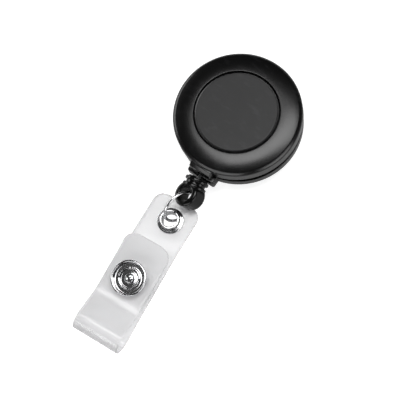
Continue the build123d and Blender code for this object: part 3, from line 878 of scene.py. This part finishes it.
class REEL_OT_case(bpy.types.Operator):
    """Makes the front cover, the back cover and the label disc"""

    bl_idname = "badge_reel.case"
    bl_label = "Case"

    def execute(self, context):
        case = context.scene.reel_case
        recess_z = LABEL_LOW.z
        lip_z = FACE_Z - case.lip_drop
        inside = CASE_RADIUS - case.wall
        lip_start = CASE_RADIUS - 0.9 * case.lip_round
        face = [(case.recess_radius, FACE_Z - FACE_EDGE_DROP, 0.12 * MM)]
        for step in range(1, FACE_STEPS + 1):
            part = step / FACE_STEPS
            face.append((
                case.recess_radius + part * (lip_start - case.recess_radius),
                FACE_Z - FACE_EDGE_DROP - part**2 * (case.lip_drop - FACE_EDGE_DROP),
                0,
            ))
        corner = arc(
            (case.recess_radius - RECESS_ROUND, recess_z + RECESS_ROUND), RECESS_ROUND, -90, 0, 6
        )
        outline = [
            (0, recess_z, 0),
            *[(*point, 0) for point in corner],
            *face,
            (CASE_RADIUS, lip_z - case.lip_round, case.lip_round),
            (CASE_RADIUS, case.seam_high, 0.15 * MM),
            (inside, case.seam_high, 0.1 * MM),
            (inside, case.ceiling, 0.4 * MM),
            (0, case.ceiling, 0),
        ]
        front_y = COVER_LOW.y
        side_view = [
            (BOSS_ROOT_Y, CORD_Z + BOSS_SPLIT),
            (front_y, CORD_Z + BOSS_SPLIT),
            (front_y, BOSS_TOP - case.boss_bevel),
            (front_y + case.boss_bevel, BOSS_TOP),
            (BOSS_ROOT_Y, BOSS_TOP),
        ]
        boss = prism("front_boss", side_view, BOSS_HALF_WIDTH, radius=0.12 * MM)
        mouth = mouth_cutter(depth_from=14.0, depth_to=-front_y / MM)
        cover_with_boss("front_cover", outline, 8, boss, mouth)

        back_radius = CASE_HIGH.x
        back_y, low = CASE_LOW.y, CASE_LOW.z
        collar = inside - 0.05 * MM
        outline = [
            (0, low, 0),
            (back_radius, low, case.back_round),
            (back_radius, case.seam_low, 0.15 * MM),
            (collar, case.seam_low, 0.08 * MM),
            (collar, case.collar_top, 0.1 * MM),
            (case.collar_inner, case.collar_top, 0.1 * MM),
            (case.collar_inner, case.floor_top, 0.3 * MM),
            (case.post_radius, case.floor_top, 0.2 * MM),
            (case.post_radius, case.post_top, 0.1 * MM),
            (case.tip_radius, case.post_top, 0),
            (case.tip_radius, case.tip_top, 0.2 * MM),
            (0, case.tip_top, 0),
        ]
        boss = block(
            "back_boss",
            (-BACK_BOSS_HALF_WIDTH, back_y, BACK_BOSS_LOW),
            (BACK_BOSS_HALF_WIDTH, BACK_BOSS_ROOT_Y, CORD_Z - BOSS_SPLIT),
            radius=0.5 * MM,
        )
        mouth = mouth_cutter(depth_from=13.0, depth_to=-back_y / MM)
        cover_with_boss("back_cover", outline, 6, boss, mouth)

        disc = rounded(
            [
                (0, recess_z, 0),
                (LABEL_HIGH.x, recess_z, 0.05 * MM),
                (LABEL_HIGH.x, FACE_Z, 0.2 * MM),
                (0, FACE_Z, 0),
            ],
            steps=6,
        )
        label = new_object("label_insert", lathe("label_insert", disc, 192))
        finished(label, finish_named("Label insert"), "label_plastic", "case", "label_disc")
        return {"FINISHED"}


# ---- works: spool, spring and cord ----

KNOT_STEPS = 72
ANCHOR_RADIUS = 8.95 * MM  # the anchor knot's distance from the spool's axis
TAIL_DEPTH = 2.15 * MM  # the tail knot's distance from the fitting's end
RUN_STEPS, RUN_SIDES = 240, 12
RUN_OVERLAP = 0.5 * MM  # the run's length inside the case and inside the fitting


def tube_along(name, points, radius, closed=False):
    """A round tube along a list of points."""
    curve = bpy.data.curves.new(name, "CURVE")
    curve.dimensions = "3D"
    curve.bevel_depth = radius
    curve.bevel_resolution = 4
    curve.use_fill_caps = True
    spline = curve.splines.new("POLY")
    spline.points.add(len(points) - 1)
    for point, place in zip(spline.points, points):
        point.co = (*place, 1.0)
    spline.use_cyclic_u = closed
    host = new_object(name + "_path", curve)
    bpy.context.view_layer.update()
    piece = settled(host, name)
    smooth(piece.data, 60)
    return piece


def knot_points(centre, axis, size):
    """A small overhand knot's line: a trefoil about its axis."""
    side = axis.orthogonal().normalized()
    other = axis.cross(side)
    points = []
    for step in range(KNOT_STEPS):
        angle = 2 * pi * step / KNOT_STEPS
        reach = size * (2 + cos(3 * angle)) / 3
        place = side * (reach * cos(2 * angle)) + other * (reach * sin(2 * angle))
        points.append(centre + place + axis * (size * 0.45 * sin(3 * angle)))
    return points


def knotted_end(name, middle, axis, size, strand, stub, stub_radius):
    """A knot about an axis and the short straight end of the cord that leads to it."""
    ball = tube_along(name + "_ball", knot_points(middle, axis, size), strand, closed=True)
    return joined(name, ball, tube_along(name + "_stub", stub, stub_radius))


class REEL_OT_works(bpy.types.Operator):
    """Makes the wound cord and its knots, and finishes the spool, the spring and the lead"""

    bl_idname = "badge_reel.works"
    bl_label = "Works"

    def execute(self, context):
        cord = context.scene.reel_cord
        nylon = finish_named("Nylon cord")
        dress_node("spool", "Natural plastic")
        dress_node("spool_cap", "Natural plastic")
        dress_node("power_spring", "Blued spring steel")

        tree = coil_tree()
        inner = WINDING_HIGH.x - (2 * cord.layers) * cord.radius
        coils = []
        for layer in range(cord.layers):
            values = {
                "Coil radius": inner + (2 * layer + 1) * cord.radius,
                "Cord radius": cord.radius * 0.98,
                "Turns": float(cord.turns),
                "Height": 2 * cord.radius * (cord.turns - 1),
                "Base": WINDING_LOW.z + cord.radius,
            }
            coils.append(grown(f"cord_layer_{layer + 1}", tree, values, nylon))
        winding = joined("cord_turns", *coils)
        point_outwards(winding.data)
        smooth(winding.data, 60)
        finished(winding, nylon, "cord_nylon", "spool", "cord_winding")

        low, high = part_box("cord_anchor_knot")
        centre = (Vector(low) + Vector(high)) / 2
        outwards = Vector((centre.x, centre.y, 0)).normalized()
        hub_point = outwards * ANCHOR_RADIUS + Vector((0, 0, CORD_Z))
        stub = [hub_point, hub_point + outwards * 1.1 * MM]
        anchor = knotted_end(
            "cord_anchor", hub_point, outwards,
            size=0.36 * MM, strand=0.2 * MM, stub=stub, stub_radius=0.38 * MM,
        )
        finished(anchor, nylon, "cord_nylon", "spool", "cord_anchor_knot")

        dress_node("cord_lead", "Nylon cord")
        axis = Vector(JOINTS["fitting_twist"]["axis"]).normalized()
        neck_point = Vector((0, NECK_Y, CORD_Z))
        middle = neck_point + axis * TAIL_DEPTH
        stub = [neck_point - axis * 0.05 * MM, middle]
        tail = knotted_end(
            "cord_tail", middle, axis,
            size=0.58 * MM, strand=0.33 * MM, stub=stub, stub_radius=cord.radius,
        )
        finished(tail, nylon, "cord_nylon", "cord_end", "cord_tail_knot")
        return {"FINISHED"}


class REEL_OT_cord_run(bpy.types.Operator):
    """Makes the stretch of cord that shows when the end fitting is pulled out"""

    bl_idname = "badge_reel.cord_run"
    bl_label = "Cord run"

    def execute(self, context):
        cord = context.scene.reel_cord
        start = Vector((0, CASE_LOW.y + RUN_OVERLAP, CORD_Z))
        end = Vector((0, NECK_Y - RUN_OVERLAP, CORD_Z))
        steps, sides = RUN_STEPS, RUN_SIDES
        vertices, faces = [], []
        for step in range(steps + 1):
            place = start.lerp(end, step / steps)
            for side in range(sides):
                angle = 2 * pi * side / sides
                vertices.append((
                    place.x + cord.radius * cos(angle),
                    place.y,
                    place.z + cord.radius * sin(angle),
                ))
        for step in range(steps):
            for side in range(sides):
                after = (side + 1) % sides
                low, high = step * sides, (step + 1) * sides
                faces.append((low + side, low + after, high + after, high + side))
        faces.append(tuple(range(sides)))
        faces.append(tuple(steps * sides + side for side in range(sides)))
        mesh = mesh_from("cord_run", vertices, faces)
        point_outwards(mesh)
        smooth(mesh, 60)
        run = new_object("cord_run", mesh)
        finished(run, finish_named("Nylon cord"), "cord_nylon", None)
        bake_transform(run)
        return {"FINISHED"}


# ---- end fitting ----

EYE_TILT = radians(24.0)
EYE_DISTANCE = 4.75 * MM


def turned_to(direction):
    """The rotation that takes Z to a direction."""
    return Vector((0, 0, 1)).rotation_difference(direction).to_matrix().to_4x4()


class REEL_OT_end_fitting(bpy.types.Operator):
    """Makes the ribbed neck and its thick eye"""

    bl_idname = "badge_reel.end_fitting"
    bl_label = "End fitting"

    def execute(self, context):
        swivel = JOINTS["fitting_twist"]
        pull = Vector(swivel["axis"]).normalized()
        start = Vector((0, NECK_Y, CORD_Z))
        neck, rib, chamber = 2.5, 3.05, 1.25
        corners = [(0.5, 0, 0.05), (neck, 0, 0.3)]
        for middle in (0.8, 2.4):
            corners += [
                (neck, middle - 0.48, 0.12),
                (rib, middle - 0.42, 0.3),
                (rib, middle + 0.42, 0.3),
                (neck, middle + 0.48, 0.12),
            ]
        corners += [(neck, 3.9, 0.4), (chamber, 3.9, 0), (chamber, 1.2, 0.1), (0.5, 1.2, 0)]
        seat = Matrix.Translation(start) @ turned_to(pull)
        neck_piece = turned_piece("neck", corners, 96, seat)
        half, hole, rim, rim_round = 2.2, 1.85, 3.3, 1.6
        corners = [
            (hole, -half, 0.35),
            (rim, -half, rim_round),
            (rim, half, rim_round),
            (hole, half, 0.35),
        ]
        lean = Vector((-sin(EYE_TILT), 0, cos(EYE_TILT)))
        eye_axis = (lean - pull * lean.dot(pull)).normalized()
        eye_seat = Matrix.Translation(start + pull * EYE_DISTANCE) @ turned_to(eye_axis)
        eye = turned_piece("eye", corners, 96, eye_seat, steps=10)
        clear, reach = hole + 0.05, 3.0
        bore = [(0, -reach, 0), (clear, -reach, 0), (clear, reach, 0), (0, reach, 0)]
        neck_piece = cut_by(neck_piece, turned_piece("eye_bore", bore, 64, eye_seat), "neck")
        smooth(neck_piece.data, 40)
        fitting = joined("end_fitting_body", neck_piece, eye)
        black = finish_named("Gloss black plastic")
        finished(fitting, black, "fitting_plastic", "fitting", "end_fitting")
        return {"FINISHED"}


# ---- link ring ----

RING_RADIUS = 4.37 * MM
RING_WIRE_RADIUS = 0.375 * MM
RING_SWEEP = radians(358.6)


class REEL_OT_link_ring(bpy.types.Operator):
    """Makes the wire ring that joins the end fitting and the strap"""

    bl_idname = "badge_reel.link_ring"
    bl_label = "Link ring"

    def execute(self, context):
        hinge = JOINTS["strap_swing"]
        normal = Vector(hinge["axis"]).normalized()
        centre = Vector(hinge["pos_m"])
        plate = finish_named("Bright plate")
        values = {
            "Ring radius": RING_RADIUS,
            "Wire radius": RING_WIRE_RADIUS,
            "Sweep": RING_SWEEP,
            "Segments": 160,
        }
        ring = grown("ring_of_wire", ring_tree(), values, plate)
        down = (normal * normal.z - Vector((0, 0, 1))).normalized()
        across = normal.cross(down)
        turn = Matrix((down, across, normal)).transposed().to_4x4()
        ring.data.transform(Matrix.Translation(centre) @ turn)
        finished(ring, plate, "bright_plate", "ring", "link_ring")
        return {"FINISHED"}


# ---- strap ----

SNAP_POINT = Vector((-47.1, 2.6)) * MM
SNAP_SLOPE = radians(7.0)
STRAP_TOP = Vector((-24.4, 4.0)) * MM
FOLD_CENTRE = Vector((-61.2, 3.3)) * MM
FOLD_RADIUS = 3.0 * MM
FLAP_END_Y = -37.2 * MM
FLAP_FLARE = radians(20.0)
EYELET_Y = -30.0 * MM
EYELET_OFFSET = 0.5 * MM
FOLD_X = 0.5 * MM
ALONG = Vector((cos(SNAP_SLOPE), sin(SNAP_SLOPE)))
ACROSS = Vector((-sin(SNAP_SLOPE), cos(SNAP_SLOPE)))
BACK_ABOVE = 10.2 * MM  # straight stretches above and below the snap
BACK_BELOW = 6.0 * MM
FLAP_ABOVE = 5.4 * MM
FLAP_BELOW = 6.2 * MM
BACK_UPPER = SNAP_POINT + ALONG * BACK_ABOVE
BACK_BEND = 18 * MM  # radii of the bends between the strap's straight stretches
FLAP_BEND = 9 * MM
SHEET_COLUMNS = 16
SHEET_SPACING = 0.5 * MM
EYELET_HOLE, SNAP_HOLE = 2.07, 1.47  # radii in millimetres
EYELET_SLOPE = atan2(STRAP_TOP.y - BACK_UPPER.y, STRAP_TOP.x - BACK_UPPER.x)
EYELET_POINT = Vector((EYELET_Y, STRAP_TOP.y + (EYELET_Y - STRAP_TOP.x) * tan(EYELET_SLOPE)))
HINGE_AXIS = Vector(JOINTS["flap_open"]["axis"])
STRAP_YAW = atan2(HINGE_AXIS.y, HINGE_AXIS.x)
STRAP_PLACE = Matrix.Translation((
    FOLD_X + FOLD_CENTRE.x * sin(STRAP_YAW), FOLD_CENTRE.x * (1 - cos(STRAP_YAW)), 0
)) @ Matrix.Rotation(STRAP_YAW, 4, "Z")


def seat_on_strap(point, slope, offset=0.0):
    """Where a fastener sits: Z along the strap's normal, at a point (y, z) of its middle."""
    place = Matrix.Translation((offset, point.x, point.y))
    return STRAP_PLACE @ place @ Matrix.Rotation(slope, 4, "X")


def touch_angle(point, side):
    """The fold's angle, in degrees, where the line from a point is tangent to it."""
    away = FOLD_CENTRE - point
    heading = atan2(away.y, away.x) + side * asin(FOLD_RADIUS / away.length)
    reach = sqrt(away.length_squared - FOLD_RADIUS**2)
    touch = point + Vector((cos(heading), sin(heading))) * reach - FOLD_CENTRE
    return degrees(atan2(touch.y, touch.x)) % 360


def strap_line(settings):
    """The strap's middle line in side view, from its upper end round the fold to the flap."""
    flap_point = SNAP_POINT + ACROSS * settings.flap_rise
    back_lower = SNAP_POINT - ALONG * BACK_BELOW
    flap_lower = flap_point - ALONG * FLAP_BELOW
    flap_upper = flap_point + ALONG * FLAP_ABOVE
    flap_end = Vector((FLAP_END_Y, flap_upper.y + (FLAP_END_Y - flap_upper.x) * tan(FLAP_FLARE)))
    low, high = touch_angle(back_lower, 1), touch_angle(flap_lower, -1)
    fold = arc(FOLD_CENTRE, FOLD_RADIUS, low, high, 40)
    back = [(*STRAP_TOP, 0), (*BACK_UPPER, BACK_BEND), (*back_lower, BACK_BEND), (*fold[0], 0)]
    flap = [(*fold[-1], 0), (*flap_lower, FLAP_BEND), (*flap_upper, FLAP_BEND), (*flap_end, 0)]
    return (
        rounded(back, steps=8, closed=False)[:-1]
        + fold
        + rounded(flap, steps=8, closed=False)[1:]
    )


def evenly(points, spacing):
    """The same line with points at an even spacing."""
    reach = [0.0]
    for before, after in zip(points, points[1:]):
        reach.append(reach[-1] + (after - before).length)
    count = round(reach[-1] / spacing)
    result, index = [], 0
    for step in range(count + 1):
        target = reach[-1] * step / count
        while index < len(points) - 2 and reach[index + 1] < target:
            index += 1
        part = (target - reach[index]) / (reach[index + 1] - reach[index])
        result.append(points[index].lerp(points[index + 1], min(max(part, 0.0), 1.0)))
    return result, reach[-1]


def hole_cutter(seat, radius):
    """A round cutter, with its radius in millimetres, through the strap at a seat."""
    corners = [(0, -1, 0), (radius, -1, 0), (radius, 1, 0), (0, 1, 0)]
    return turned_piece("hole_cutter", corners, 64, seat)


class REEL_OT_strap(bpy.types.Operator):
    """Makes the folded strap of clear vinyl"""

    bl_idname = "badge_reel.strap"
    bl_label = "Strap"

    def execute(self, context):
        settings = context.scene.reel_strap
        line, reach = evenly(strap_line(settings), SHEET_SPACING)
        vertices, faces = [], []
        for index, point in enumerate(line):
            from_end = min(index, len(line) - 1 - index) * reach / (len(line) - 1)
            inset = 0.0
            if from_end < settings.corner:
                gap = settings.corner - from_end
                inset = settings.corner - sqrt(settings.corner**2 - gap**2)
            width = settings.width / 2 - inset
            for column in range(SHEET_COLUMNS + 1):
                across = 2 * column / SHEET_COLUMNS - 1
                vertices.append((across * width, point.x, point.y))
        row = SHEET_COLUMNS + 1
        for index in range(len(line) - 1):
            for column in range(SHEET_COLUMNS):
                low = index * row + column
                faces.append((low, low + row, low + row + 1, low + 1))
        mesh = mesh_from("strap_sheet", vertices, faces)
        mesh.transform(STRAP_PLACE)
        sheet = new_object("strap_sheet", mesh)
        thick = sheet.modifiers.new("Thickness", "SOLIDIFY")
        thick.thickness = settings.thickness
        thick.offset = 0.0
        thick.use_even_offset = True
        band = settled(sheet, "strap_band")
        point_outwards(band.data)
        flap_point = SNAP_POINT + ACROSS * settings.flap_rise
        holes = [
            (seat_on_strap(EYELET_POINT, EYELET_SLOPE, EYELET_OFFSET), EYELET_HOLE),
            (seat_on_strap(SNAP_POINT, SNAP_SLOPE), SNAP_HOLE),
            (seat_on_strap(flap_point, SNAP_SLOPE), SNAP_HOLE),
        ]
        for seat, radius in holes:
            band = cut_by(band, hole_cutter(seat, radius), "strap_band")
        edge = band.modifiers.new("Soft edge", "BEVEL")
        edge.width = 0.07 * MM
        edge.segments = 2
        edge.limit_method = "ANGLE"
        edge.angle_limit = radians(50)
        strap = settled(band, "clear_strap")
        smooth(strap.data, 40)
        vinyl = finish_named("Clear vinyl")
        finished(strap, vinyl, "clear_vinyl", None, "strap_back", "strap_flap")
        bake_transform(strap)
        return {"FINISHED"}


# ---- eyelet ----


def plated(name, corners, seat, body, node):
    """A turned piece of bright plate that stands for a CAD node."""
    piece = turned_piece(name, corners, 96, seat)
    finished(piece, finish_named("Bright plate"), "bright_plate", body, node)


class REEL_OT_eyelet(bpy.types.Operator):
    """Makes the eyelet and its washer"""

    bl_idname = "badge_reel.eyelet"
    bl_label = "Eyelet"

    def execute(self, context):
        skin = context.scene.reel_strap.thickness / 2 / MM
        seat = seat_on_strap(EYELET_POINT, EYELET_SLOPE, EYELET_OFFSET)
        corners = [
            (1.85, -skin - 0.3, 0.05),
            (2.05, -skin - 0.3, 0),
            (2.05, skin, 0),
            (3.30, skin, 0.05),
            (3.30, skin + 0.34, 0.15),
            (2.92, skin + 0.40, 0.06),
            (2.92, skin + 0.76, 0.12),
            (2.55, skin + 0.82, 0.06),
            (2.50, skin + 1.95, 0.28),
            (1.88, skin + 1.95, 0.28),
            (1.85, skin + 0.9, 0),
        ]
        plated("eyelet_barrel", corners, seat, "strap", "eyelet")
        corners = [
            (2.06, -skin - 0.3, 0.08),
            (3.1, -skin - 0.3, 0.12),
            (3.1, -skin, 0.05),
            (2.06, -skin, 0.03),
        ]
        plated("eyelet_back", corners, seat, "strap", "eyelet_washer")
        return {"FINISHED"}


# ---- snap ----


class REEL_OT_snap(bpy.types.Operator):
    """Makes the snap's cap, socket, spring, stud and rivet"""

    bl_idname = "badge_reel.snap"
    bl_label = "Snap"

    def execute(self, context):
        settings = context.scene.reel_strap
        skin = settings.thickness / 2 / MM
        flap_point = SNAP_POINT + ACROSS * settings.flap_rise
        top = seat_on_strap(flap_point, SNAP_SLOPE)
        bottom = seat_on_strap(SNAP_POINT, SNAP_SLOPE)

        corners = [
            (0, skin + 1.2, 0),
            (0.35, skin + 1.18, 0.1),
            (0.62, skin + 1.32, 0.12),
            (1.1, skin + 1.2, 0.25),
            (1.2, skin + 0.3, 0.2),
            (2.3, skin + 0.25, 0.15),
            (2.4, skin + 1.38, 0.1),
            (2.72, skin + 1.38, 0.1),
            (2.8, skin + 0.3, 0.15),
            (3.85, skin + 0.3, 0.2),
            (3.9, skin + 1.76, 0.2),
            (4.48, skin + 1.76, 0.26),
            (4.48, skin + 0.55, 0.3),
            (4.3, skin, 0.1),
            (1.45, skin, 0),
            (1.45, -skin - 0.5, 0.1),
            (1.15, -skin - 0.5, 0.1),
            (1.15, -skin - 0.2, 0),
            (0, -skin - 0.2, 0),
        ]
        cap = turned_piece("snap_top", corners, 128, top)
        for quarter in range(4):
            notch = new_object("notch", block(
                "notch",
                (2.1 * MM, -0.3 * MM, (skin + 1.08) * MM),
                (3.0 * MM, 0.3 * MM, (skin + 1.6) * MM),
                0.1 * MM,
            ))
            notch.data.transform(top @ Matrix.Rotation(radians(90 * quarter + 20), 4, "Z"))
            cap = cut_by(cap, notch, "snap_top")
        smooth(cap.data, 35)
        finished(cap, finish_named("Bright plate"), "bright_plate", "flap", "snap_cap")

        corners = [
            (1.5, -skin - 0.5, 0),
            (1.5, -skin, 0),
            (4.1, -skin, 0.1),
            (4.1, -skin - 1.1, 0.3),
            (3.6, -skin - 1.5, 0.2),
            (2.15, -skin - 1.5, 0.1),
            (2.15, -skin - 1.2, 0.05),
            (3.3, -skin - 1.1, 0.1),
            (3.3, -skin - 0.5, 0.1),
        ]
        plated("snap_cup", corners, top, "flap", "snap_socket")

        steel = finish_named("Blued spring steel")
        values = {
            "Ring radius": 2.45 * MM,
            "Wire radius": 0.22 * MM,
            "Sweep": radians(320),
            "Segments": 64,
        }
        spring = grown("snap_wire", bpy.data.node_groups["Wire ring"], values, steel)
        spring.data.transform(top @ Matrix.Translation((0, 0, (-skin - 0.8) * MM)))
        finished(spring, steel, "spring_steel", "flap", "snap_spring")

        corners = [
            (1.0, skin, 0),
            (4.0, skin, 0.05),
            (4.0, skin + 0.2, 0.08),
            (2.6, skin + 0.35, 0.3),
            (1.72, skin + 0.5, 0.15),
            (1.7, skin + 1.05, 0.1),
            (1.95, skin + 1.35, 0.15),
            (1.7, skin + 1.7, 0.2),
            (1.0, skin + 1.7, 0.05),
        ]
        plated("snap_bead", corners, bottom, "strap", "snap_stud")

        corners = [
            (0, -skin - 0.55, 0),
            (3.9, -skin - 0.55, 0.2),
            (4.2, -skin - 0.3, 0.1),
            (4.2, -skin, 0.05),
            (0.95, -skin, 0),
            (0.95, skin + 1.55, 0.1),
            (0.65, skin + 1.55, 0.1),
            (0.65, -skin - 0.25, 0),
            (0, -skin - 0.25, 0),
        ]
        plated("snap_post", corners, bottom, "strap", "stud_rivet")
        return {"FINISHED"}


# ---- belt clip ----


class REEL_OT_clip(bpy.types.Operator):
    """Finishes the belt clip and its rivets"""

    bl_idname = "badge_reel.clip"
    bl_label = "Belt clip"

    def execute(self, context):
        for node in ("clip_base", "clip_tongue", "clip_rivets"):
            dress_node(node, "Clip steel")
        return {"FINISHED"}


# ---- panel, registration and the run ----


class REEL_PT_panel(bpy.types.Panel):
    """Lists the pieces of the badge reel"""

    bl_idname = "REEL_PT_panel"
    bl_label = "Badge reel"
    bl_space_type = "VIEW_3D"
    bl_region_type = "UI"
    bl_category = "Badge reel"

    def draw(self, context):
        layout = self.layout
        for operator in OPERATORS:
            layout.operator(operator.bl_idname)
        for settings in (
            context.scene.reel_case,
            context.scene.reel_cord,
            context.scene.reel_strap,
            context.scene.reel_colours,
        ):
            column = layout.column(align=True)
            for name in settings.__annotations__:
                column.prop(settings, name)


OPERATORS = (
    REEL_OT_stage,
    REEL_OT_case,
    REEL_OT_works,
    REEL_OT_cord_run,
    REEL_OT_end_fitting,
    REEL_OT_link_ring,
    REEL_OT_strap,
    REEL_OT_eyelet,
    REEL_OT_snap,
    REEL_OT_clip,
)
SETTINGS = {
    "reel_case": ReelCaseSettings,
    "reel_cord": ReelCordSettings,
    "reel_strap": ReelStrapSettings,
    "reel_colours": ReelColours,
}


def register():
    for name, group in SETTINGS.items():
        bpy.utils.register_class(group)
        setattr(bpy.types.Scene, name, bpy.props.PointerProperty(type=group))
    for operator in OPERATORS:
        bpy.utils.register_class(operator)
    bpy.utils.register_class(REEL_PT_panel)


def unregister():
    bpy.utils.unregister_class(REEL_PT_panel)
    for operator in reversed(OPERATORS):
        bpy.utils.unregister_class(operator)
    for name, group in SETTINGS.items():
        delattr(bpy.types.Scene, name)
        bpy.utils.unregister_class(group)


def main():
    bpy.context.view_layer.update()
    register()
    bpy.ops.badge_reel.stage()
    bpy.ops.badge_reel.case()
    bpy.ops.badge_reel.works()
    bpy.ops.badge_reel.cord_run()
    bpy.ops.badge_reel.end_fitting()
    bpy.ops.badge_reel.link_ring()
    bpy.ops.badge_reel.strap()
    bpy.ops.badge_reel.eyelet()
    bpy.ops.badge_reel.snap()
    bpy.ops.badge_reel.clip()


if __name__ == "__main__":
    main()
